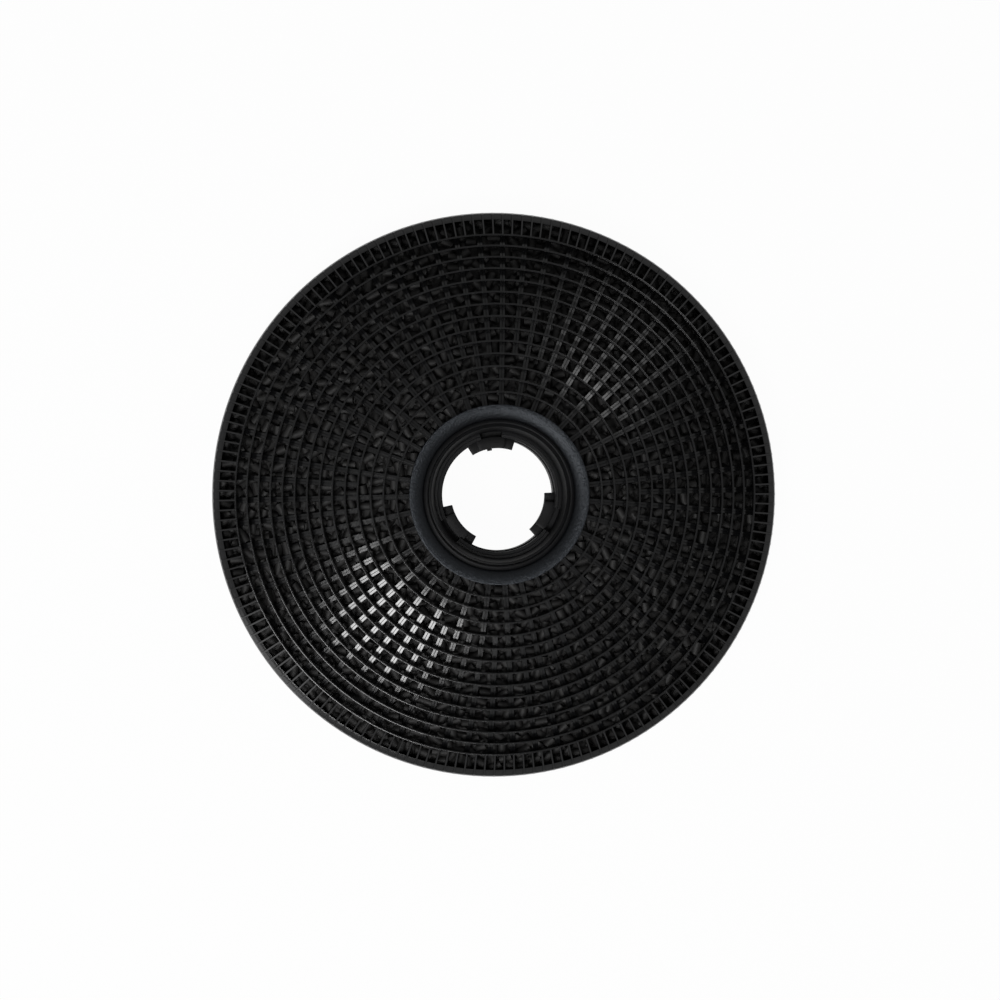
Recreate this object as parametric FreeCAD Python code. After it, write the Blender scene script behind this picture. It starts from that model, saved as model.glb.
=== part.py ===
import FreeCAD, Part
import math
import os

# Round carbon filter for a cooker hood: two moulded grilles with a bed of carbon pellets between them.
# It rests on its rim with the domed front up. The origin is the middle of the underside, +Z up.

# driving dimensions, in millimetres and degrees
outside_diameter = 233.0
filter_thickness = 18.2       # from the tops of the front rings to the underside of the back ribs

# the dome: the curve, seen from the side, that both grilles follow
dome_radius = 170.0
dome_level_radius = 30.0      # where the curve is level, inside the flange
flange_rise = 0.6             # the flange stands this far above the curve
foot_rise = 0.77              # the lowest back ribs stand this far above the surface it rests on

# front grille
rib_count = 35
first_rib_angle = 90.0
rib_width = 2.0
ring_pitch = 5.23             # along the dome
ring_width = 0.8
front_depth = 3.8
fins_per_rib = 5              # one of them is the rib itself, carried on to the rim
fin_width = 1.0
fin_depth = 6.0
fin_gap = 0.4                 # between a fin's tip and the last ring
fin_room = 8.0                # least distance along the dome from the last ring to the rim
rim_wall = 2.4
rim_rise = 0.3                # the rim stands this far above the curve
shoulder_width = 1.3
shoulder_height = 2.8

# bell-mouthed flange of the front grille
flange_radius = 36.4
flange_depth = 4.6
mouth_radius = 30.6
mouth_curve = 3.4
mouth_steps = 2

# collar of the back grille, which carries the flange
collar_clearance = 0.3
collar_seat = 2.2             # width of the shoulder under the flange
lip_drop = 1.3                # drops are measured down from the top of the flange
lip_width = 1.2
step_drop = 3.5
step_width = 1.5
ledge_drop = 8.0
throat_radius = 25.3
hole_radius = 22.65
hole_relief = 0.6             # the hole is this much wider from the lugs upwards
collar_end = 1.0              # the collar reaches this far below the back ribs

# bayonet lugs inside the hole
lug_count = 3
first_lug_angle = 98.8
lug_span = 50.0
lug_tip_radius = 19.0
lug_drop = 9.6
lug_thickness = 2.6
lug_end_span = 10.0
lug_end_drop = 1.2
notch_span = 22.0
notch_radius = 24.8

# back grille and its rim
back_bands = 2
back_ring_width = 1.6
back_depth = 2.4
base_rise = 0.43              # the base ring stands this far above the back ring inside it
base_width = 7.0
base_inset = 0.3
spigot_clearance = 0.2
spigot_height = 2.4

# carbon bed between the grilles
bed_clearance = 0.3

# sizes that follow from these
outside_radius = outside_diameter / 2
rim_inner_radius = outside_radius - rim_wall
base_radius = outside_radius - base_inset
base_inner_radius = base_radius - base_width
last_back_ring = base_inner_radius + back_ring_width
spigot_radius = rim_inner_radius - spigot_clearance
back_drop = filter_thickness - back_depth      # from the front ring tops to the back ring tops
dome_fall = dome_radius - math.sqrt(dome_radius ** 2 - (last_back_ring - dome_level_radius) ** 2)
dome_top = foot_rise + filter_thickness + dome_fall
overall_height = dome_top + flange_rise
collar_radius = mouth_radius - collar_clearance
seat_radius = collar_radius + collar_seat
seat_height = overall_height - flange_depth


def dome_point(arc, lowered=0.0):
    # radius and height at a distance along the dome from its level circle
    angle = arc / dome_radius
    radius = dome_level_radius + dome_radius * math.sin(angle)
    return radius, dome_top - dome_radius * (1 - math.cos(angle)) - lowered


def dome_arc(radius):
    return dome_radius * math.asin((radius - dome_level_radius) / dome_radius)


def dome_height(radius, lowered=0.0):
    return dome_point(dome_arc(radius), lowered)[1]


flange_arc = dome_arc(flange_radius)
ring_count = int((dome_arc(rim_inner_radius) - flange_arc - fin_room) / ring_pitch)
ring_arcs = [flange_arc + (ring + 1) * ring_pitch for ring in range(ring_count)]
base_height = dome_height(last_back_ring, back_drop) + base_rise
first_back_arc = dome_arc(seat_radius - collar_seat / 2)
back_band = (dome_arc(last_back_ring) - first_back_arc) / back_bands
back_arcs = [first_back_arc + ring * back_band for ring in range(back_bands + 1)]


def place(radius, sideways, height, rib):
    # a point beside the middle plane of a rib; a fraction of a rib is an angle between two ribs
    angle = math.radians(first_rib_angle + rib * 360 / rib_count)
    across, along = math.cos(angle), math.sin(angle)
    return FreeCAD.Vector(radius * across - sideways * along, radius * along + sideways * across, height)


def flat_face(*points):
    return Part.Face(Part.makePolygon([*points, points[0]]))


def solid_from(faces):
    return Part.makeSolid(Part.makeShell(faces))


def lattice(arcs, bar_width, depth, lowered):
    # rings at the given places along the dome, joined by ribs with a ridge on top and a flat foot
    def top(ring, rib, side):
        radius, height = dome_point(arcs[ring] + side * bar_width / 2, lowered)
        return place(radius, 0, height, rib)

    def foot(ring, rib, side):
        radius, height = dome_point(arcs[ring], lowered + depth)
        return place(radius, side * rib_width / 2, height, rib)

    inner, outer, right, left = -1, 1, -1, 1
    last = len(arcs) - 1
    faces = []
    for rib in range(rib_count):
        for ring in range(last + 1):
            lower_edge = (foot(ring, rib + 1, right), foot(ring, rib, left))
            for side in (inner, outer):
                faces.append(flat_face(top(ring, rib, side), top(ring, rib + 1, side), *lower_edge))
            faces.append(flat_face(top(ring, rib, inner), top(ring, rib + 1, inner),
                                   top(ring, rib + 1, outer), top(ring, rib, outer)))
        for ring in range(last):
            ridge = (top(ring, rib, outer), top(ring + 1, rib, inner))
            for side in (right, left):
                faces.append(flat_face(*ridge, foot(ring + 1, rib, side), foot(ring, rib, side)))
            faces.append(flat_face(foot(ring, rib, right), foot(ring, rib, left),
                                   foot(ring + 1, rib, left), foot(ring + 1, rib, right)))
        for ring, side in ((0, inner), (last, outer)):
            faces.append(flat_face(top(ring, rib, side), foot(ring, rib, left), foot(ring, rib, right)))
    return solid_from(faces)


def faceted_ring(outline, facets_per_rib=1, first_edge=-0.5):
    # an outline of (radius, height) points carried round the axis in flat facets
    faces = []
    following = outline[1:] + outline[:1]
    for facet in range(rib_count * facets_per_rib):
        here, there = (facet + first_edge) / facets_per_rib, (facet + 1 + first_edge) / facets_per_rib
        for (radius, height), (next_radius, next_height) in zip(outline, following):
            faces.append(flat_face(place(radius, 0, height, here), place(radius, 0, height, there),
                                   place(next_radius, 0, next_height, there),
                                   place(next_radius, 0, next_height, here)))
    return solid_from(faces)


def plate(inner_radius, outer_radius, low, high, middle_angle, span, facets):
    # a flat sector round the axis
    angles = [math.radians(middle_angle + span * (step / facets - 0.5)) for step in range(facets + 1)]
    inner = [FreeCAD.Vector(inner_radius * math.cos(angle), inner_radius * math.sin(angle), low)
             for angle in angles]
    outer = [FreeCAD.Vector(outer_radius * math.cos(angle), outer_radius * math.sin(angle), low)
             for angle in reversed(angles)]
    return flat_face(*inner, *outer).extrude(FreeCAD.Vector(0, 0, high - low))


def flange():
    top = overall_height
    below = top - flange_depth
    turns = [math.pi / 2 * step / mouth_steps for step in range(mouth_steps + 1)]
    mouth = [(mouth_radius + mouth_curve * (1 - math.sin(turn)), top - mouth_curve * (1 - math.cos(turn)))
             for turn in turns]
    return faceted_ring([(mouth_radius, below), (flange_radius, below), (flange_radius, top), *mouth])


def rim_fins():
    # blades that reach in from the rim wall, between the ribs, and end just short of the last ring
    tip_radius, tip_height = dome_point(ring_arcs[-1] + ring_width / 2 + fin_gap)
    root_radius = rim_inner_radius + rim_wall / 2
    root_height = dome_height(root_radius)
    fins = []
    for fin in range(rib_count * fins_per_rib):
        if fin % fins_per_rib == 0:
            continue
        rib = fin / fins_per_rib
        tip = place(tip_radius, 0, tip_height, rib)
        root_right = place(root_radius, -fin_width / 2, root_height, rib)
        root_left = place(root_radius, fin_width / 2, root_height, rib)
        root_foot = place(root_radius, 0, root_height - fin_depth, rib)
        fins.append(solid_from([flat_face(tip, root_right, root_left), flat_face(tip, root_right, root_foot),
                                flat_face(tip, root_left, root_foot),
                                flat_face(root_right, root_left, root_foot)]))
    return fins


def front_grille():
    inside_flange = dome_arc((mouth_radius + mouth_curve + flange_radius) / 2)
    inside_wall = dome_arc(rim_inner_radius + ring_width)
    bars = lattice([inside_flange, *ring_arcs, inside_wall], ring_width, front_depth, 0)
    wall_top = dome_height(rim_inner_radius) + rim_rise
    wall = faceted_ring([(rim_inner_radius, base_height), (outside_radius, base_height),
                         (outside_radius, wall_top - shoulder_height),
                         (outside_radius - shoulder_width, wall_top), (rim_inner_radius, wall_top)], 2)
    return bars.fuse([flange(), wall, *rim_fins()])


def collar():
    top = overall_height
    bottom = dome_top - filter_thickness - collar_end
    lip_radius = collar_radius - lip_width
    under_lugs = top - lug_drop - lug_thickness
    wide_radius = hole_radius + hole_relief
    body = faceted_ring([(lug_tip_radius, bottom), (lug_tip_radius, under_lugs), (wide_radius, under_lugs),
                         (wide_radius, top - ledge_drop), (throat_radius, top - ledge_drop),
                         (lip_radius - step_width, top - step_drop), (lip_radius, top - lip_drop),
                         (collar_radius, top - lip_drop), (collar_radius, seat_height),
                         (seat_radius, seat_height), (seat_radius, bottom)])
    return body.cut(Part.makeCylinder(hole_radius, top))


def lug(angle):
    high = overall_height - lug_drop
    low = high - lug_thickness
    end_high = high - lug_end_drop
    root_radius = (hole_radius + throat_radius) / 2
    ends = plate(lug_tip_radius, root_radius, low, end_high, angle, lug_span, 5)
    middle = plate(lug_tip_radius, root_radius, end_high, high, angle, lug_span - 2 * lug_end_span, 3)
    return ends.fuse(middle)


def back_grille():
    bars = lattice(back_arcs, back_ring_width, back_depth, back_drop)
    base = faceted_ring([(base_inner_radius, 0), (base_radius, 0), (base_radius, base_height),
                         (spigot_radius, base_height), (spigot_radius, base_height + spigot_height),
                         (base_inner_radius, base_height)])
    hub = collar()
    for index in range(lug_count):
        angle = first_lug_angle + index * 360 / lug_count
        notch_floor = overall_height - lug_drop
        hub = hub.cut(plate(lug_tip_radius, notch_radius, notch_floor, overall_height, angle, notch_span, 2))
        hub = hub.fuse(lug(angle))
    return hub.fuse([bars, base])


def carbon_bed():
    inner = seat_radius + bed_clearance
    outer = rim_inner_radius - bed_clearance * 2
    top_drop = front_depth + bed_clearance
    bottom_drop = back_drop - bed_clearance
    middle = back_arcs[back_bands // 2]
    return faceted_ring([(inner, dome_height(inner, bottom_drop)), dome_point(middle, bottom_drop),
                         (outer, base_height + spigot_height + bed_clearance),
                         (outer, dome_height(outer, top_drop)), dome_point(middle, top_drop),
                         (inner, dome_height(inner, top_drop))], 1, 0)


os.makedirs("parts", exist_ok=True)
pieces = {"front_grille": front_grille, "back_grille": back_grille, "carbon_bed": carbon_bed}
for name, build in pieces.items():
    shape = build()
    shape.exportStep("parts/" + name + ".step")
    print(name, "solids", len(shape.Solids), "valid", shape.isValid(), "volume", round(shape.Volume))
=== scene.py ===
import bpy
import bmesh
import math
import random
from mathutils import Matrix, Vector


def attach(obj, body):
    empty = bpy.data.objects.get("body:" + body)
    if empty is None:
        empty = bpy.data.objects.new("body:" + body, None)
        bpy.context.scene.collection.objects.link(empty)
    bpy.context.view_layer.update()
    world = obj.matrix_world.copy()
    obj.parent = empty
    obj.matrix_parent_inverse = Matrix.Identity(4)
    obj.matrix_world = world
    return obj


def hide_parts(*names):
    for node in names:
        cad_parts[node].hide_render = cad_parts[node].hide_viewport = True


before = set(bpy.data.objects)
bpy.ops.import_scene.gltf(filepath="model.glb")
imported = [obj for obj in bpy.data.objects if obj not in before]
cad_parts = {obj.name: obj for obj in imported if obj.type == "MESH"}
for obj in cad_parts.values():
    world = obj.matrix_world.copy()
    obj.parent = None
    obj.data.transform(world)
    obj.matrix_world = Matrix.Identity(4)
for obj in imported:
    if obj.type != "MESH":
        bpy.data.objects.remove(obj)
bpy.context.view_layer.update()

mm = 0.001
up = Vector((0, 0, 1))
mergeDistance = 0.004   # as all lengths here, in millimetres

# the curve that both grilles follow, seen from the side
dome = {"radius": 170.0, "levelRadius": 30.0, "top": 39.4}


def domeHeight(radius):
    return dome["top"] - dome["radius"] + math.sqrt(dome["radius"] ** 2 - (radius - dome["levelRadius"]) ** 2)


def domeSlope(radius):
    return math.asin((radius - dome["levelRadius"]) / dome["radius"])


def domeArc(radius):
    return dome["radius"] * domeSlope(radius)


def domeRadius(arc):
    return dome["levelRadius"] + dome["radius"] * math.sin(arc / dome["radius"])


def finishMesh(bm, name, material, smoothAngle=35):
    bmesh.ops.remove_doubles(bm, verts=bm.verts, dist=mergeDistance)
    bmesh.ops.recalc_face_normals(bm, faces=bm.faces)
    bmesh.ops.scale(bm, vec=(mm, mm, mm), verts=bm.verts)   # millimetres to metres
    mesh = bpy.data.meshes.new(name)
    bm.to_mesh(mesh)
    bm.free()
    mesh.materials.append(material)
    mesh.shade_smooth()
    mesh.set_sharp_from_angle(angle=math.radians(smoothAngle))
    return addObject(name, mesh)


def addObject(name, data):
    made = bpy.data.objects.new(name, data)
    bpy.context.scene.collection.objects.link(made)
    return made


def addTo(bm, part):
    # takes a finished bmesh over into another one
    mesh = bpy.data.meshes.new("scratch")
    part.to_mesh(mesh)
    part.free()
    bm.from_mesh(mesh)
    bpy.data.meshes.remove(mesh)


def carryRound(bm, geom, angle, steps, merge=False, duplicate=False):
    # angle is in radians, round the hub's axis
    bmesh.ops.spin(bm, geom=geom, cent=(0, 0, 0), axis=up, dvec=(0, 0, 0), angle=angle, steps=steps,
                   use_merge=merge, use_normal_flip=False, use_duplicate=duplicate)


def turnTo(bm, degrees):
    bmesh.ops.rotate(bm, cent=(0, 0, 0), matrix=Matrix.Rotation(math.radians(degrees), 3, "Z"), verts=bm.verts)


def thicken(bm, offset):
    # a flat sheet becomes a closed block
    made = bmesh.ops.extrude_face_region(bm, geom=bm.faces[:], use_keep_orig=True)
    bmesh.ops.translate(bm, vec=offset, verts=[g for g in made["geom"] if isinstance(g, bmesh.types.BMVert)])


def drawOutline(bm, outline):
    # a closed outline of (radius, height), as one face
    corners = [bm.verts.new((radius, 0, height)) for radius, height in outline]
    bm.faces.new(corners)
    return corners


def spinOutline(outline, steps, rounding=0.0, sharpOnes=(), segments=2):
    # the outline is carried right round the hub, and its first face doesn't stay inside
    bm = bmesh.new()
    corners = drawOutline(bm, outline)
    if rounding:
        picked = [v for index, v in enumerate(corners) if index not in sharpOnes]
        bmesh.ops.bevel(bm, geom=picked, offset=rounding, affect="VERTICES", segments=segments, profile=0.5,
                        material=-1)
    bmesh.ops.delete(bm, geom=bm.faces[:], context="FACES_ONLY")
    carryRound(bm, bm.verts[:] + bm.edges[:], 2 * math.pi, steps, merge=True)
    return bm


def sweptBlock(outline, start, end, steps):
    # the outline is carried part of the way round the hub, and both ends are closed
    bm = bmesh.new()
    drawOutline(bm, outline)
    turnTo(bm, start)
    carryRound(bm, bm.faces[:] + bm.edges[:] + bm.verts[:], math.radians(end - start), steps)
    bmesh.ops.remove_doubles(bm, verts=bm.verts, dist=0.001)
    bmesh.ops.recalc_face_normals(bm, faces=bm.faces)
    return bm


def copiesAround(bm, count):
    # everything in the mesh is repeated evenly round the hub
    geom = bm.verts[:] + bm.edges[:] + bm.faces[:]
    carryRound(bm, geom, 2 * math.pi * (count - 1) / count, count - 1, duplicate=True)


def newMaterial(name):
    material = bpy.data.materials.new(name)
    material.use_nodes = True
    nodes, links = material.node_tree.nodes, material.node_tree.links
    coords = nodes.new("ShaderNodeTexCoord")
    return material, nodes, links, nodes["Principled BSDF"], coords


def noiseNode(nodes, links, coords, scale, detail=3.0, roughness=0.55):
    noise = nodes.new("ShaderNodeTexNoise")
    noise.inputs["Scale"].default_value = scale
    noise.inputs["Detail"].default_value = detail
    noise.inputs["Roughness"].default_value = roughness
    links.new(coords.outputs["Object"], noise.inputs["Vector"])
    return noise


def rampNode(nodes, links, source, stops):
    ramp = nodes.new("ShaderNodeValToRGB")
    for element, (position, colour) in zip(ramp.color_ramp.elements, stops):
        element.position, element.color = position, (*colour, 1)
    links.new(source, ramp.inputs["Fac"])
    return ramp


def rangeNode(nodes, links, source, low, high, start=0.0, end=1.0):
    # start to end becomes low to high
    spread = nodes.new("ShaderNodeMapRange")
    for socket, value in (("From Min", start), ("From Max", end), ("To Min", low), ("To Max", high)):
        spread.inputs[socket].default_value = value
    links.new(source, spread.inputs["Value"])
    return spread


def blendNode(nodes, links, share):
    blend = nodes.new("ShaderNodeMix")
    blend.data_type = "RGBA"
    links.new(share, blend.inputs["Factor"])
    return blend


def radiusNode(nodes, links, coords, start, end):
    # runs from 0 to 1 between two distances from the hub's axis
    flat = nodes.new("ShaderNodeVectorMath")
    flat.operation = "MULTIPLY"
    flat.inputs[1].default_value = (1, 1, 0)
    links.new(coords.outputs["Object"], flat.inputs[0])
    reach = nodes.new("ShaderNodeVectorMath")
    reach.operation = "LENGTH"
    links.new(flat.outputs[0], reach.inputs[0])
    return rangeNode(nodes, links, reach.outputs["Value"], 0.0, 1.0, start * mm, end * mm)


def bumpNode(nodes, links, shader, source, strength, distance):
    bump = nodes.new("ShaderNodeBump")
    bump.inputs["Strength"].default_value = strength
    bump.inputs["Distance"].default_value = distance
    links.new(source, bump.inputs["Height"])
    links.new(bump.outputs["Normal"], shader.inputs["Normal"])


# the grain's depth is in metres, and all scales are per metre
frontPlastic = {"dark": (0.0030, 0.0030, 0.0034), "light": (0.0060, 0.0061, 0.0068),
                "roughLow": 0.14, "roughHigh": 0.22, "gloss": 0.95,
                "cloudScale": 90, "grainScale": 2600, "grainStrength": 0.25, "grainDepth": 0.00004}
backPlastic = {"dark": (0.0022, 0.0022, 0.0026), "light": (0.0048, 0.0048, 0.0056),
               "roughLow": 0.36, "roughHigh": 0.5, "gloss": 0.5,
               "cloudScale": 120, "grainScale": 2400, "grainStrength": 0.35, "grainDepth": 0.00006}
collarPlastic = {"dark": (0.0016, 0.0017, 0.0021), "light": (0.0040, 0.0043, 0.0052),
                 "roughLow": 0.5, "roughHigh": 0.6, "gloss": 0.28,
                 "cloudScale": 120, "grainScale": 2400, "grainStrength": 0.35, "grainDepth": 0.00006}


def makePlastic(name, look):
    # slow changes of shade and gloss, under a fine grain
    material, nodes, links, shader, coords = newMaterial(name)
    cloud = noiseNode(nodes, links, coords, look["cloudScale"], 4)
    shade = rampNode(nodes, links, cloud.outputs["Fac"], [(0.35, look["dark"]), (0.7, look["light"])])
    links.new(shade.outputs["Color"], shader.inputs["Base Color"])
    rough = rangeNode(nodes, links, cloud.outputs["Fac"], look["roughLow"], look["roughHigh"])
    links.new(rough.outputs["Result"], shader.inputs["Roughness"])
    shader.inputs["Specular IOR Level"].default_value = look["gloss"]
    grain = noiseNode(nodes, links, coords, look["grainScale"], 2)
    bumpNode(nodes, links, shader, grain.outputs["Fac"], look["grainStrength"], look["grainDepth"])
    return material


# the bore's colours are painted shade, darker than the rim's, and give way to the rim's colours between the two
# fade radii
flangePlastic = {"boreShadeDark": (0.0022, 0.0025, 0.0031), "boreShadeLight": (0.0042, 0.0048, 0.0058),
                 "rimDark": (0.0035, 0.0042, 0.0054), "rimLight": (0.0190, 0.0215, 0.0260),
                 "shadeFadeFrom": 32.0, "shadeFadeTo": 36.3, "roughBore": 0.4, "roughRim": 0.37,
                 "sheen": (0.86, 0.92, 1.0), "grainScale": 950, "grainStrength": 1.0, "grainDepth": 0.0003}


def makeFlangePlastic(look):
    # the hub's mouth is spark-eroded in the mould, a fine matt grain; its colour is painted darker towards the bore
    # as painted shade, and the grain's contrast fades with it
    material, nodes, links, shader, coords = newMaterial("flangePlastic")
    grain = noiseNode(nodes, links, coords, look["grainScale"], 3, 0.7)
    boreShade = rampNode(nodes, links, grain.outputs["Fac"], [(0.35, look["boreShadeDark"]), (0.68, look["boreShadeLight"])])
    rim = rampNode(nodes, links, grain.outputs["Fac"], [(0.42, look["rimDark"]), (0.60, look["rimLight"])])
    # painted shade: the mouth's colour darkens from the rim in towards the bore
    shadeFade = radiusNode(nodes, links, coords, look["shadeFadeFrom"], look["shadeFadeTo"])
    blend = blendNode(nodes, links, shadeFade.outputs["Result"])
    links.new(boreShade.outputs["Color"], blend.inputs["A"])
    links.new(rim.outputs["Color"], blend.inputs["B"])
    links.new(blend.outputs["Result"], shader.inputs["Base Color"])
    rough = rangeNode(nodes, links, shadeFade.outputs["Result"], look["roughBore"], look["roughRim"])
    links.new(rough.outputs["Result"], shader.inputs["Roughness"])
    shader.inputs["Specular Tint"].default_value = (*look["sheen"], 1)
    bumpNode(nodes, links, shader, grain.outputs["Fac"], look["grainStrength"], look["grainDepth"])
    return material


carbonLook = {"dark": (0.0036, 0.0035, 0.0036), "light": (0.0150, 0.0144, 0.0142), "pale": (0.0250, 0.0238, 0.0228),
              "paleShare": 0.5, "roughness": 0.62, "dustScale": 520, "patchScale": 170,
              "pitScale": 1300, "pitStrength": 0.5, "pitDepth": 0.0002}


def makeCarbon(look):
    # patches of the size of a pellet are a little lighter or darker than the next, under a fine dust
    material, nodes, links, shader, coords = newMaterial("carbon")
    dust = noiseNode(nodes, links, coords, look["dustScale"], 5, 0.65)
    shade = rampNode(nodes, links, dust.outputs["Fac"], [(0.3, look["dark"]), (0.72, look["light"])])
    patches = nodes.new("ShaderNodeTexVoronoi")
    patches.inputs["Scale"].default_value = look["patchScale"]
    links.new(coords.outputs["Object"], patches.inputs["Vector"])
    share = rangeNode(nodes, links, patches.outputs["Color"], 0.0, look["paleShare"])
    blend = blendNode(nodes, links, share.outputs["Result"])
    links.new(shade.outputs["Color"], blend.inputs["A"])
    blend.inputs["B"].default_value = (*look["pale"], 1)
    links.new(blend.outputs["Result"], shader.inputs["Base Color"])
    shader.inputs["Roughness"].default_value = look["roughness"]
    pits = noiseNode(nodes, links, coords, look["pitScale"], 4, 0.7)
    bumpNode(nodes, links, shader, pits.outputs["Fac"], look["pitStrength"], look["pitDepth"])
    return material


materials = {"front": makePlastic("frontPlastic", frontPlastic), "flange": makeFlangePlastic(flangePlastic),
             "back": makePlastic("backPlastic", backPlastic), "collar": makePlastic("collarPlastic", collarPlastic),
             "carbon": makeCarbon(carbonLook)}
print("materials made")

front = {"rings": 14, "ringPitch": 5.23, "ringWidth": 0.62, "ringFoot": 0.85, "ringDepth": 3.9,
         "ringEdge": 0.09, "ringEdgeDrop": 0.054, "ringCrown": 0.03, "ringSteps": 280,
         "ribs": 35, "firstRib": 90.0, "ribStart": 34.9, "halfRibFrom": 4, "ribWidth": 2.2, "ribSink": 3.5,
         "ribDepth": 1.0, "ribEdge": 0.1, "ribSteps": 36, "grooveWidth": 0.24, "grooveDepth": 0.15,
         "smoothAngle": 20}
# a fin's tooth is given as (in from the end, down from the dome)
fins = {"count": 175, "width": 0.62, "depth": 6.0, "sink": 0.05, "steps": 6, "end": 116.37,
        "tooth": ((0.2, 0.45), (0.0, 1.2), (0.0, 2.2)), "toothLength": 0.7, "toothFlare": 1.7}
# the wall's top rounds over outwards: (in from the outside, down), then (out from the inside, down)
rimWall = {"outer": 116.36, "inner": 113.4, "foot": 3.6, "top": 16.4, "steps": 350,
           "outerRound": ((0.0, 2.3), (0.45, 1.35)), "innerRound": ((1.75, 0.76), (0.9, 0.31), (0.0, 0.0))}
flange = {"outer": 36.4, "top": 39.99, "depth": 4.6, "edge": 0.2, "edgeMiddle": 0.06, "mouthInner": 30.6,
          "mouthWide": 5.2, "mouthDeep": 2.6, "mouthTurn": 66, "mouthSteps": 14, "steps": 180, "smoothAngle": 30}


def ringRadius(number):
    return domeRadius(domeArc(flange["outer"]) + number * front["ringPitch"])


lastRing = ringRadius(front["rings"])


def makeRings(bm):
    half, foot, edge = front["ringWidth"] / 2, front["ringFoot"] / 2, front["ringEdge"]
    for number in range(1, front["rings"] + 1):
        radius = ringRadius(number)
        top = domeHeight(radius)
        level, low = top - front["ringCrown"], top - front["ringDepth"]
        side = level - front["ringEdgeDrop"]
        outline = [(radius - half, side), (radius - half + edge, level), (radius, top),
                   (radius + half - edge, level), (radius + half, side), (radius + foot, low), (radius - foot, low)]
        addTo(bm, spinOutline(outline, front["ringSteps"]))


def makeRibs(startRadius, firstAngle):
    # one rib is a strip bent to the dome, thickened, then repeated round the hub
    rib = bmesh.new()
    half, depth = front["ribWidth"] / 2, front["ribSink"]
    bmesh.ops.create_grid(rib, x_segments=front["ribSteps"], y_segments=4, size=0.5)
    bmesh.ops.scale(rib, vec=(1, front["ribWidth"], 1), verts=rib.verts)
    startArc, endArc = domeArc(startRadius), domeArc(lastRing)
    for v in rib.verts:
        # the shallow groove along the middle of the top is the mould's sink mark
        groove = front["grooveDepth"] if abs(v.co.y) < 0.01 else 0
        v.co.x = domeRadius(startArc + (v.co.x + 0.5) * (endArc - startArc))
        v.co.z = domeHeight(v.co.x) - depth - groove
        if 0.01 < abs(v.co.y) < half * 0.6:
            v.co.y = math.copysign(front["grooveWidth"] / 2, v.co.y)
    thicken(rib, (0, 0, -front["ribDepth"]))
    bmesh.ops.recalc_face_normals(rib, faces=rib.faces)
    longTop = []
    for e in rib.edges:
        a, b = e.verts[0].co, e.verts[1].co
        alongSide = abs(a.y - b.y) < 1e-4 and abs(abs(a.y) - half) < 1e-4 and (a - b).length > 0.2
        if alongSide and min(p.z - domeHeight(p.x) for p in (a, b)) > -depth - 0.1:
            longTop.append(e)
    bmesh.ops.bevel(rib, geom=longTop, offset=front["ribEdge"], affect="EDGES", segments=1, profile=0.5,
                    material=-1)
    turnTo(rib, firstAngle)
    copiesAround(rib, front["ribs"])
    return rib


def makeFins(bm):
    # blades from the last ring, over the rim wall and out to the edge, where they widen into small teeth
    inside, end = rimWall["inner"], fins["end"]
    bend = end - fins["toothLength"]
    radii = [lastRing + (bend - lastRing) * step / fins["steps"] for step in range(fins["steps"] + 1)]
    outline = [(radius, domeHeight(radius) - fins["sink"]) for radius in radii]
    outline += [(end - inward, domeHeight(end) - drop) for inward, drop in fins["tooth"]]
    outline += [(inside, domeHeight(inside) - fins["depth"]), (lastRing, domeHeight(lastRing) - front["ringDepth"])]
    fin = bmesh.new()
    drawOutline(fin, outline)
    bmesh.ops.translate(fin, vec=(0, -fins["width"] / 2, 0), verts=fin.verts)
    thicken(fin, (0, fins["width"], 0))
    bmesh.ops.scale(fin, vec=(1, fins["toothFlare"], 1), verts=[v for v in fin.verts if v.co.x > bend - 0.05])
    bmesh.ops.recalc_face_normals(fin, faces=fin.faces)
    turnTo(fin, front["firstRib"])
    copiesAround(fin, fins["count"])
    addTo(bm, fin)


def makeRimWall(bm):
    inner, outer, foot, top = (rimWall[key] for key in ("inner", "outer", "foot", "top"))
    outline = [(inner, foot), (outer, foot)]
    outline += [(outer - inward, top - down) for inward, down in rimWall["outerRound"]]
    outline += [(inner + outward, top - down) for outward, down in rimWall["innerRound"]]
    addTo(bm, spinOutline(outline, rimWall["steps"]))


def makeFlange():
    top, inner, outer, edge = flange["top"], flange["mouthInner"], flange["outer"], flange["edge"]
    low, middle, steepest = top - flange["depth"], flange["edgeMiddle"], math.radians(flange["mouthTurn"])
    outline = [(inner, low), (outer, low), (outer, top - edge), (outer - middle, top - middle), (outer - edge, top)]
    for step in range(flange["mouthSteps"] + 1):
        turn = steepest * step / flange["mouthSteps"]
        outline.append((inner + flange["mouthWide"] * (1 - math.sin(turn) / math.sin(steepest)),
                        top - flange["mouthDeep"] * (1 - math.cos(turn)) / (1 - math.cos(steepest))))
    return spinOutline(outline, flange["steps"])


grille = bmesh.new()
makeRings(grille)
addTo(grille, makeRibs(front["ribStart"], front["firstRib"]))
addTo(grille, makeRibs(ringRadius(front["halfRibFrom"]), front["firstRib"] + 180 / front["ribs"]))
makeFins(grille)
makeRimWall(grille)
frontGrille = finishMesh(grille, "frontGrille", materials["front"], front["smoothAngle"])
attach(frontGrille, "root")
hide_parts("front_grille")

hubFlange = finishMesh(makeFlange(), "hubFlange", materials["flange"], flange["smoothAngle"])
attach(hubFlange, "root")
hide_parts("front_grille")
print("front grille", len(frontGrille.data.polygons), "faces; flange", len(hubFlange.data.polygons))

back = {"drop": 18.2, "depth": 2.4, "inner": 31.4, "outer": 110.8, "steps": 140,
        "rings": 13, "ringWidth": 1.6, "ringTaper": 0.6, "ringEdge": 0.2,
        "ribs": 35, "firstRib": 90.0, "halfRibFrom": 4, "ribWidth": 2.0, "ribSteps": 30, "ribInset": 0.2}
baseRing = {"outer": 116.2, "inner": 109.2, "top": 3.6, "spigotOuter": 113.9, "spigotTop": 6.0, "edge": 0.3}


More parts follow.
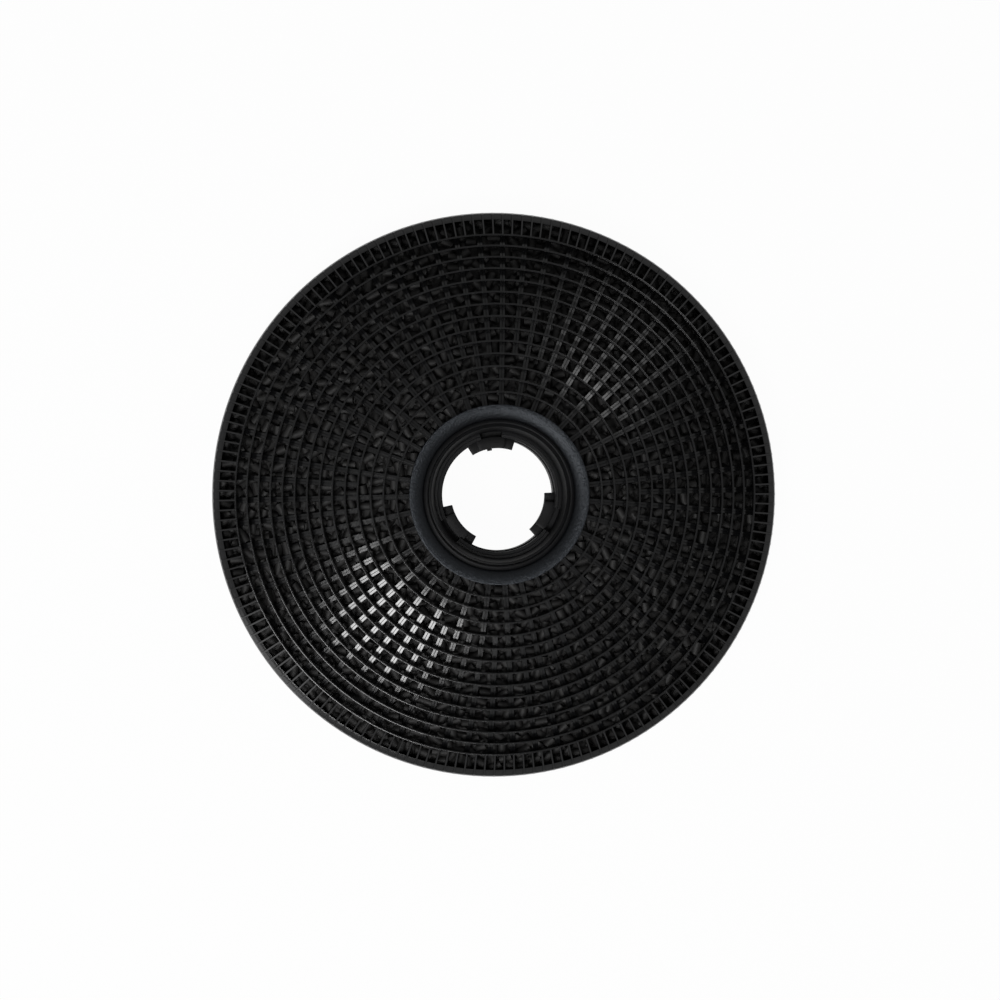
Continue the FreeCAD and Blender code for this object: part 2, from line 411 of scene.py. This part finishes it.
def makeBackBars(bm):
    startArc, endArc = domeArc(back["inner"]), domeArc(back["outer"])
    half, inset = back["ringWidth"] / 2, back["ribInset"]
    for number in range(1, back["rings"]):
        radius = domeRadius(startArc + (endArc - startArc) * number / back["rings"])
        low = domeHeight(radius) - back["drop"]
        drop, high = half * math.tan(domeSlope(radius)), low + back["depth"]
        narrow = half * back["ringTaper"]
        outline = [(radius - half, low + drop), (radius + half, low - drop),
                   (radius + narrow, high), (radius - narrow, high)]
        addTo(bm, spinOutline(outline, back["steps"], back["ringEdge"], sharpOnes=(2, 3), segments=1))
    for begin, angle in ((0, back["firstRib"]), (back["halfRibFrom"], back["firstRib"] + 180 / back["ribs"])):
        rib = bmesh.new()
        bmesh.ops.create_grid(rib, x_segments=back["ribSteps"], y_segments=1, size=0.5)
        bmesh.ops.scale(rib, vec=(1, back["ribWidth"], 1), verts=rib.verts)
        first = startArc + (endArc - startArc) * begin / back["rings"]
        for v in rib.verts:
            v.co.x = domeRadius(first + (v.co.x + 0.5) * (endArc - first))
            v.co.z = domeHeight(v.co.x) - back["drop"] + inset
        thicken(rib, (0, 0, back["depth"] - 2 * inset))
        bmesh.ops.recalc_face_normals(rib, faces=rib.faces)
        turnTo(rib, angle)
        copiesAround(rib, back["ribs"])
        addTo(bm, rib)


def makeBase(bm):
    inner, outer, spigot, top = (baseRing[key] for key in ("inner", "outer", "spigotOuter", "top"))
    outline = [(inner, 0), (outer, 0), (outer, top), (spigot, top), (spigot, baseRing["spigotTop"]), (inner, top)]
    addTo(bm, spinOutline(outline, back["steps"], baseRing["edge"]))


grate = bmesh.new()
makeBackBars(grate)
makeBase(grate)
backGrille = finishMesh(grate, "backGrille", materials["back"])
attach(backGrille, "root")
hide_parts("back_grille")

collar = {"steps": 180,
          "profile": ((22.65, 20.2), (22.65, 27.8),                               # the hole
                      (25.75, 27.8), (25.75, 32.2),                               # the lugs' shelf and the throat
                      (27.3, 36.8), (27.4, 37.2), (27.6, 37.3), (27.85, 37.15),   # the inner ridge
                      (28.4, 37.0),                                               # the valley between them
                      (28.9, 38.0), (29.05, 38.38), (29.3, 38.5), (29.7, 38.38),  # the lip inside the flange
                      (30.52, 37.6), (30.52, 35.4), (32.5, 35.4),                 # the seat that carries the flange
                      (32.5, 20.2))}
ledges = {"arcs": ((-11.6, 88.0), (108.7, 206.0), (229.8, 324.6)), "steps": 40,
          "profile": ((23.25, 27.7), (25.9, 27.7), (25.9, 32.25), (25.25, 32.35), (24.75, 32.35),
                      (24.6, 32.2), (24.45, 32.0), (23.45, 31.9), (23.25, 31.65))}
lugs = {"count": 3, "first": 98.8, "span": 50.0, "steps": 12, "tip": 19.0, "root": 23.6, "low": 27.8, "top": 28.4,
        "edge": 0.2}
# the middle of each lug stands up from its two ends
lugPads = {"span": 30.0, "steps": 8, "tip": 19.05, "low": 28.2, "top": 30.4, "edge": 0.15}
flash = {"angle": 102.0, "span": 6.0, "steps": 4, "tip": 18.2, "root": 19.6, "low": 28.3, "top": 30.0, "edge": 0.2}


def makeSector(inner, outer, low, high, middle, span, steps, rounding):
    # a flat block between two radii, part of the way round the hub
    outline = [(inner, low), (outer, low), (outer, high), (inner, high)]
    block = sweptBlock(outline, middle - span / 2, middle + span / 2, steps)
    creases = [e for e in block.edges if len(e.link_faces) == 2 and e.calc_face_angle() > math.radians(60)]
    bmesh.ops.bevel(block, geom=creases, offset=rounding, affect="EDGES", segments=2, profile=0.5, material=-1)
    return block


def makeLugs(bm):
    for index in range(lugs["count"]):
        angle = lugs["first"] + index * 360 / lugs["count"]
        for part in (lugs, lugPads):
            addTo(bm, makeSector(part["tip"], lugs["root"], part["low"], part["top"], angle, part["span"],
                                 part["steps"], part["edge"]))
    # a bit of flash that the mould left on the first lug's tip
    addTo(bm, makeSector(flash["tip"], flash["root"], flash["low"], flash["top"], flash["angle"], flash["span"],
                         flash["steps"], flash["edge"]))


hub = bmesh.new()
addTo(hub, spinOutline(collar["profile"], collar["steps"]))
for start, end in ledges["arcs"]:
    addTo(hub, sweptBlock(ledges["profile"], start, end, ledges["steps"]))
makeLugs(hub)
hubCollar = finishMesh(hub, "hubCollar", materials["collar"])
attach(hubCollar, "root")
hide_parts("back_grille")
print("back grille", len(backGrille.data.polygons), "faces; collar", len(hubCollar.data.polygons))

pellets = {"inner": 34.5, "outer": 113.0, "thick": 3.8, "shortest": 3.6, "longest": 7.0, "seed": 7,
           "sides": 11, "smoothAngle": 40, "thinnest": 0.92, "fattest": 1.06, "mostTilt": 15,
           "leastReach": 33.5, "mostReach": 113.6, "heightSpread": 0.5, "missesAllowed": 20000}
# sink is the depth below the dome, tilt is in degrees, and closeness 1 lets no two pellets overlap
topPellets = {"sink": 5.8, "wanted": 1900, "tilt": 5, "closeness": 0.94}
secondPellets = {"sink": 7.4, "wanted": 1800, "tilt": 9, "closeness": 0.9}
lowPellets = {"sink": 13.4, "wanted": 1100, "tilt": 10, "closeness": 0.92}


def makePellet():
    pellet = bmesh.new()
    bmesh.ops.create_cone(pellet, cap_ends=True, segments=pellets["sides"], radius1=0.5, radius2=0.5, depth=1.0)
    mesh = bpy.data.meshes.new("pellet")
    pellet.to_mesh(mesh)
    pellet.free()
    mesh.materials.append(materials["carbon"])
    mesh.shade_smooth()
    mesh.set_sharp_from_angle(angle=math.radians(pellets["smoothAngle"]))
    return mesh


def ends(place, direction, length):
    return place - direction * length / 2, place + direction * length / 2


def nearest(a, b, c, d):
    # least distance between two short straight pieces, by sampling the first
    best = 1e9
    for s in (0.0, 0.25, 0.5, 0.75, 1.0):
        p = a.lerp(b, s)
        t = max(0.0, min(1.0, (p - c).dot(d - c) / max((d - c).length_squared, 1e-9)))
        best = min(best, (p - c.lerp(d, t)).length)
    return best


def scatterLayer(rng, layer):
    # darts are thrown over the dome, and one that would cross a pellet already there is dropped
    thick, steepest = pellets["thick"], pellets["mostTilt"]
    cell = pellets["longest"] + thick
    taken, placed = {}, []
    misses = 0
    while len(placed) < layer["wanted"] and misses < pellets["missesAllowed"]:
        angle = rng.uniform(0, 2 * math.pi)
        radius = math.sqrt(rng.uniform(pellets["inner"] ** 2, pellets["outer"] ** 2))
        length = rng.uniform(pellets["shortest"], pellets["longest"])
        yaw = rng.uniform(0, math.pi)
        tilt = math.radians(max(-steepest, min(steepest, rng.gauss(0, layer["tilt"]))))
        slope = domeSlope(radius)
        outward = Vector((math.cos(angle), math.sin(angle), 0))
        downhill = outward * math.cos(slope) - up * math.sin(slope)
        sideways = up.cross(outward)
        normal = sideways.cross(downhill) * -1
        flat = downhill * math.cos(yaw) + sideways * math.sin(yaw)
        direction = flat * math.cos(tilt) + normal * math.sin(tilt)
        height = domeHeight(radius) - layer["sink"] - rng.uniform(0, pellets["heightSpread"])
        place = outward * radius + up * (height - abs(math.sin(tilt)) * length * 0.35)
        a, b = ends(place, direction, max(length - thick, 0.2))
        reach = [math.hypot(p.x, p.y) for p in ends(place, direction, length)]
        column, row = int(place.x // cell), int(place.y // cell)
        near = [other for i in (-1, 0, 1) for j in (-1, 0, 1) for other in taken.get((column + i, row + j), ())]
        outside = min(reach) < pellets["leastReach"] or max(reach) > pellets["mostReach"]
        if outside or any(nearest(a, b, c, d) < thick * layer["closeness"] for c, d in near):
            misses += 1
            continue
        taken.setdefault((column, row), []).append((a, b))
        placed.append((place, direction, length, rng.uniform(pellets["thinnest"], pellets["fattest"])))
    return placed


def joinPellets(name, placed):
    mesh = makePellet()
    bm = bmesh.new()
    for place, direction, length, fat in placed:
        turn = direction.to_track_quat("Z", "X").to_matrix().to_4x4()
        thick = pellets["thick"] * fat
        pellet = mesh.copy()
        size = Matrix.Diagonal((thick, thick, length, 1))
        pellet.transform(Matrix.Scale(mm, 4) @ Matrix.Translation(place) @ turn @ size)
        bm.from_mesh(pellet)
        bpy.data.meshes.remove(pellet)
    bm.to_mesh(mesh)
    bm.free()
    base = addObject(name, mesh)
    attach(base, "root")
    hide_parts("carbon_bed")


rng = random.Random(pellets["seed"])
topLayer = scatterLayer(rng, topPellets)
secondLayer = scatterLayer(rng, secondPellets)
joinPellets("pelletsFrontSet", topLayer + secondLayer)
lowLayer = scatterLayer(rng, lowPellets)
joinPellets("pelletsBackSet", lowLayer)
print("pellets", len(topLayer), len(secondLayer), len(lowLayer))

packed = {"inner": 33.4, "outer": 113.2, "topSink": 7.1, "lowSink": 12.0, "stations": 10, "steps": 90}


def makeCore():
    # packed carbon inside the bed, behind the loose layers
    inner, outer, last = packed["inner"], packed["outer"], packed["stations"]
    radii = [inner + (outer - inner) * step / last for step in range(last + 1)]
    outline = [(radius, domeHeight(radius) - packed["lowSink"]) for radius in radii]
    outline += [(radius, domeHeight(radius) - packed["topSink"]) for radius in reversed(radii)]
    return spinOutline(outline, packed["steps"])


bedCore = finishMesh(makeCore(), "bedCore", materials["carbon"])
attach(bedCore, "root")
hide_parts("carbon_bed")

# from here on, places and sizes are in metres
studio = {"overhead": 0.12, "midway": 0.30, "horizon": 0.2, "lampsAimAt": (0, 0, 0.02),
          "floorRadius": 3.0, "floorDrop": 0.0002, "floorShade": 0.82, "floorRough": 0.9, "whiteShare": 0.97}
lamps = {"keyLamp": {"place": (-0.288, -0.444, 0.883), "size": (0.35, 0.49), "power": 5.4},
         "sideLamp": {"place": (-0.71, -0.60, 0.375), "size": (0.4, 0.4), "power": 0.4},
         "fillLamp": {"place": (0.325, 0.315, 0.92), "size": (0.16, 0.16), "power": 0.22}}
camera = {"place": (-0.06965, -0.00080, 1.09305), "turn": (-0.160, -3.791, 1.367), "lens": 94.3, "sensor": 36,
          "nearest": 0.01, "farthest": 20}


def seenDirectly(nodes, links):
    # 1 for what the camera sees, straight or in gloss and glass
    ray = nodes.new("ShaderNodeLightPath")
    total = ray.outputs["Is Camera Ray"]
    for kind in ("Is Glossy Ray", "Is Transmission Ray"):
        either = nodes.new("ShaderNodeMath")
        either.operation = "MAXIMUM"
        links.new(total, either.inputs[0])
        links.new(ray.outputs[kind], either.inputs[1])
        total = either.outputs[0]
    return total


def makeFloor():
    # the floor looks nearly white to the camera and keeps a little of its shadow
    bm = bmesh.new()
    bmesh.ops.create_circle(bm, cap_ends=True, segments=64, radius=studio["floorRadius"])
    bmesh.ops.translate(bm, vec=(0, 0, -studio["floorDrop"]), verts=bm.verts)
    mesh = bpy.data.meshes.new("floor")
    bm.to_mesh(mesh)
    bm.free()
    material, nodes, links, shader, _ = newMaterial("floorWhite")
    shader.inputs["Base Color"].default_value = (*[studio["floorShade"]] * 3, 1)
    shader.inputs["Roughness"].default_value = studio["floorRough"]
    glow = nodes.new("ShaderNodeEmission")
    glow.inputs["Strength"].default_value = 1.0
    both = nodes.new("ShaderNodeMixShader")
    share = nodes.new("ShaderNodeMath")
    share.operation = "MULTIPLY"
    share.inputs[1].default_value = studio["whiteShare"]
    links.new(seenDirectly(nodes, links), share.inputs[0])
    links.new(share.outputs[0], both.inputs["Fac"])
    links.new(shader.outputs[0], both.inputs[1])
    links.new(glow.outputs[0], both.inputs[2])
    links.new(both.outputs[0], nodes["Material Output"].inputs["Surface"])
    mesh.materials.append(material)
    floor = addObject("floor", mesh)


def makeWorld():
    # a pale room with a dim ceiling, so the black plastic stays black from above
    world = bpy.data.worlds.new("studio")
    bpy.context.scene.world = world
    world.use_nodes = True
    nodes, links = world.node_tree.nodes, world.node_tree.links
    coords = nodes.new("ShaderNodeTexCoord")
    split = nodes.new("ShaderNodeSeparateXYZ")
    links.new(coords.outputs["Generated"], split.inputs[0])
    stops = [(0.0, [studio["horizon"]] * 3), (1.0, [studio["overhead"]] * 3)]
    ramp = rampNode(nodes, links, split.outputs["Z"], stops)
    halfway = ramp.color_ramp.elements.new(0.5)
    halfway.color = (*[studio["midway"]] * 3, 1)
    links.new(ramp.outputs["Color"], nodes["Background"].inputs["Color"])


def makeLamp(name, look):
    lamp = bpy.data.lights.new(name, "AREA")
    lamp.shape = "RECTANGLE"
    lamp.size, lamp.size_y = look["size"]
    lamp.energy = look["power"]
    holder = addObject(name, lamp)
    holder.location = look["place"]
    aim = Vector(studio["lampsAimAt"]) - Vector(look["place"])
    holder.rotation_euler = aim.to_track_quat("-Z", "Y").to_euler()


def makeCamera():
    data = bpy.data.cameras.new("camera")
    holder = addObject("camera", data)
    holder.location = camera["place"]
    holder.rotation_euler = [math.radians(turn) for turn in camera["turn"]]
    data.lens, data.sensor_width = camera["lens"], camera["sensor"]
    data.clip_start, data.clip_end = camera["nearest"], camera["farthest"]
    bpy.context.scene.camera = holder


makeFloor()
makeWorld()
for name, look in lamps.items():
    makeLamp(name, look)
makeCamera()
bpy.context.scene.view_settings.view_transform = "Standard"
print("studio ready")
